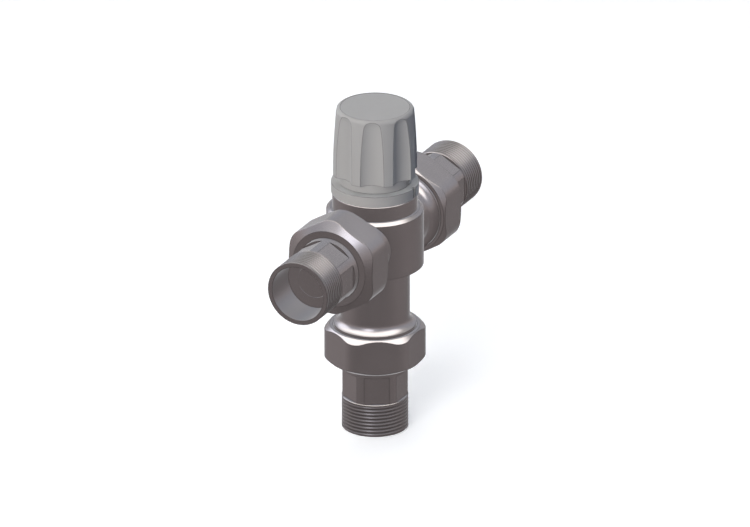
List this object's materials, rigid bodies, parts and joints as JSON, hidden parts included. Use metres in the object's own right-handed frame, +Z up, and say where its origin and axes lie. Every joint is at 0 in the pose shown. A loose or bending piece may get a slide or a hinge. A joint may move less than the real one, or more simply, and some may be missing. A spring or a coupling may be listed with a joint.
{
  "type": "thermostatic mixing valve",
  "caption": "Three-way thermostatic mixing valve: round brass body, two inlets in line and an outlet below with union nuts and threaded tailpieces, ribbed grey knob on top",
  "frame": {"origin": "centre of the outlet's end face, at the bottom", "axes": "+Z up along the body and knob, X along the two inlets with hot on -X and cold on +X"},
  "size_m": [0.1368, 0.0386, 0.1368],
  "materials": {
    "brass": "satin nickel plated brass",
    "grey_plastic": "smooth moulded grey plastic",
    "seal_rubber": "smooth black rubber",
    "fibre": "pressed fibre",
    "spring_steel": "drawn stainless wire",
    "copper": "plain copper",
    "white_plastic": "smooth moulded plastic",
    "seat_metal": "satin turned brass"
  },
  "bodies": {
    "root": {"valve_body": "brass", "bonnet": "brass", "bonnet_o_ring": "seal_rubber", "lock_ring": "grey_plastic", "return_spring": "spring_steel", "hot_gasket": "fibre", "cold_gasket": "fibre", "outlet_gasket": "fibre"},
    "knob": {"temperature_knob": "grey_plastic", "adjusting_spindle": "brass", "spindle_o_ring": "seal_rubber", "spindle_circlip": "spring_steel"},
    "carrier": {"spring_carrier": "brass", "overload_spring": "spring_steel", "overload_plunger": "spring_steel", "carrier_circlip": "spring_steel", "element_pin": "spring_steel"},
    "shuttle_group": {"shuttle": "brass", "shuttle_o_ring": "seal_rubber", "wax_element": "copper"},
    "hot_tail": {"hot_tailpiece": "brass", "hot_check_cage": "white_plastic", "hot_check_spring": "spring_steel"},
    "cold_tail": {"cold_tailpiece": "brass", "cold_check_cage": "white_plastic", "cold_check_spring": "spring_steel"},
    "outlet_tail": {"outlet_tailpiece": "brass"},
    "hot_union": {"hot_nut": "brass"},
    "cold_union": {"cold_nut": "brass"},
    "outlet_union": {"outlet_nut": "brass"},
    "hot_poppet": {"hot_check_poppet": "seat_metal"},
    "cold_poppet": {"cold_check_poppet": "seat_metal"}
  },
  "joints": [
    {"name": "knob_turn", "type": "hinge", "parent": "root", "child": "knob", "pos_m": [0, 0, 0.0825], "axis": [0, 0, 1], "range_deg": [-135, 135]},
    {"name": "carrier_lift", "type": "slide", "parent": "root", "child": "carrier", "axis": [0, 0, 1], "range_m": [-0.00112, 0.00112]},
    {"name": "thermal_travel", "type": "slide", "parent": "carrier", "child": "shuttle_group", "axis": [0, 0, 1], "range_m": [-0.001, 0.001], "stiffness_N_per_m": 3000, "deforming": ["return_spring"]},
    {"name": "hot_check_lift", "type": "slide", "parent": "hot_tail", "child": "hot_poppet", "axis": [1, 0, 0], "range_m": [0, 0.004], "stiffness_N_per_m": 150, "springref_m": -0.003, "deforming": ["hot_check_spring"]},
    {"name": "cold_check_lift", "type": "slide", "parent": "cold_tail", "child": "cold_poppet", "axis": [-1, 0, 0], "range_m": [0, 0.004], "stiffness_N_per_m": 150, "springref_m": -0.003, "deforming": ["cold_check_spring"]},
    {"name": "hot_tail_draw", "type": "slide", "parent": "root", "child": "hot_tail", "axis": [-1, 0, 0], "range_m": [0, 0.0079]},
    {"name": "hot_nut_turn", "type": "hinge", "parent": "hot_tail", "child": "hot_union", "pos_m": [0, 0, 0.0825], "axis": [-1, 0, 0], "range_deg": [0, 1240]},
    {"name": "cold_tail_draw", "type": "slide", "parent": "root", "child": "cold_tail", "axis": [1, 0, 0], "range_m": [0, 0.0079]},
    {"name": "cold_nut_turn", "type": "hinge", "parent": "cold_tail", "child": "cold_union", "pos_m": [0, 0, 0.0825], "axis": [1, 0, 0], "range_deg": [0, 1240]},
    {"name": "outlet_tail_draw", "type": "slide", "parent": "root", "child": "outlet_tail", "axis": [0, 0, -1], "range_m": [0, 0.0079]},
    {"name": "outlet_nut_turn", "type": "hinge", "parent": "outlet_tail", "child": "outlet_union", "pos_m": [0, 0, 0.0825], "axis": [0, 0, -1], "range_deg": [0, 1240]}
  ],
  "couplings": [
    {"joint": "knob_turn", "follows": "carrier_lift", "rad_per_m": -2094.4},
    {"joint": "hot_nut_turn", "follows": "hot_tail_draw", "rad_per_m": 2721.2},
    {"joint": "cold_nut_turn", "follows": "cold_tail_draw", "rad_per_m": 2721.2},
    {"joint": "outlet_nut_turn", "follows": "outlet_tail_draw", "rad_per_m": 2721.2}
  ]
}
